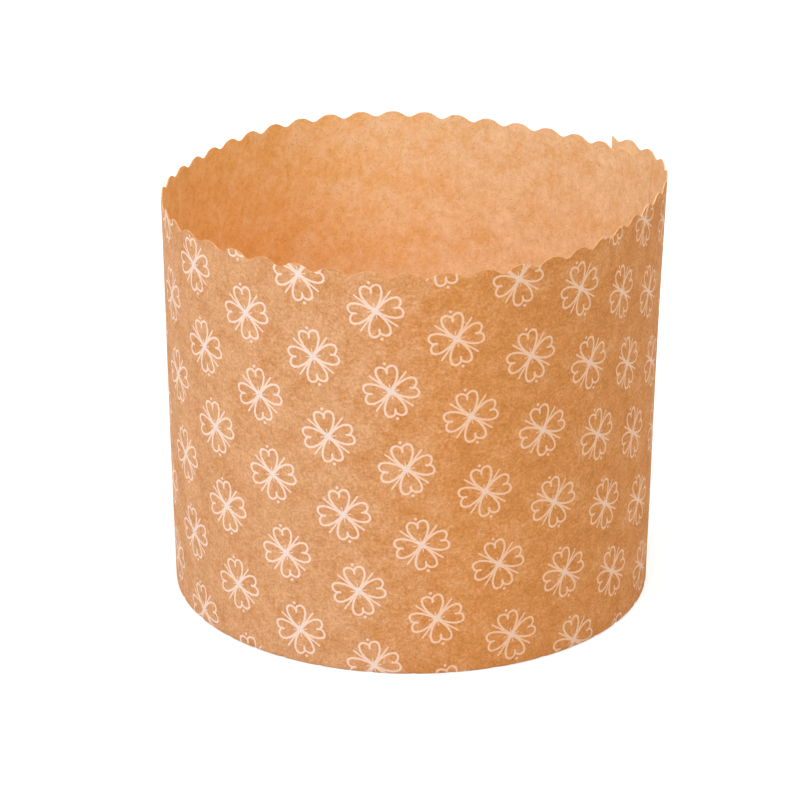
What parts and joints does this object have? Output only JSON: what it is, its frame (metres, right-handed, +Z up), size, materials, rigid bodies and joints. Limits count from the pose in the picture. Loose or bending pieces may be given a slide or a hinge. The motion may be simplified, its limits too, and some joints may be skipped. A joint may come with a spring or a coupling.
{
  "type": "panettone paper mold",
  "caption": "Tall round paper baking mold for a sweet loaf: wrapped kraft wall with a scalloped rim, pale printed flowers, and a pleated flange that carries a fluted card floor.",
  "frame": {"origin": "centre of the mold's outline seen from above, on the table", "axes": "+Z up through the open rim; -Y toward the camera of the picture, so that the glued lap is at the back right"},
  "size_m": [0.132, 0.1396, 0.1113],
  "materials": {
    "printed_kraft": "matt brown kraft paper with a soft pale print",
    "fluted_card": "matt brown fluted card"
  },
  "bodies": {
    "root": {"side_wall": "printed_kraft", "base_disc": "fluted_card"}
  },
  "joints": []
}
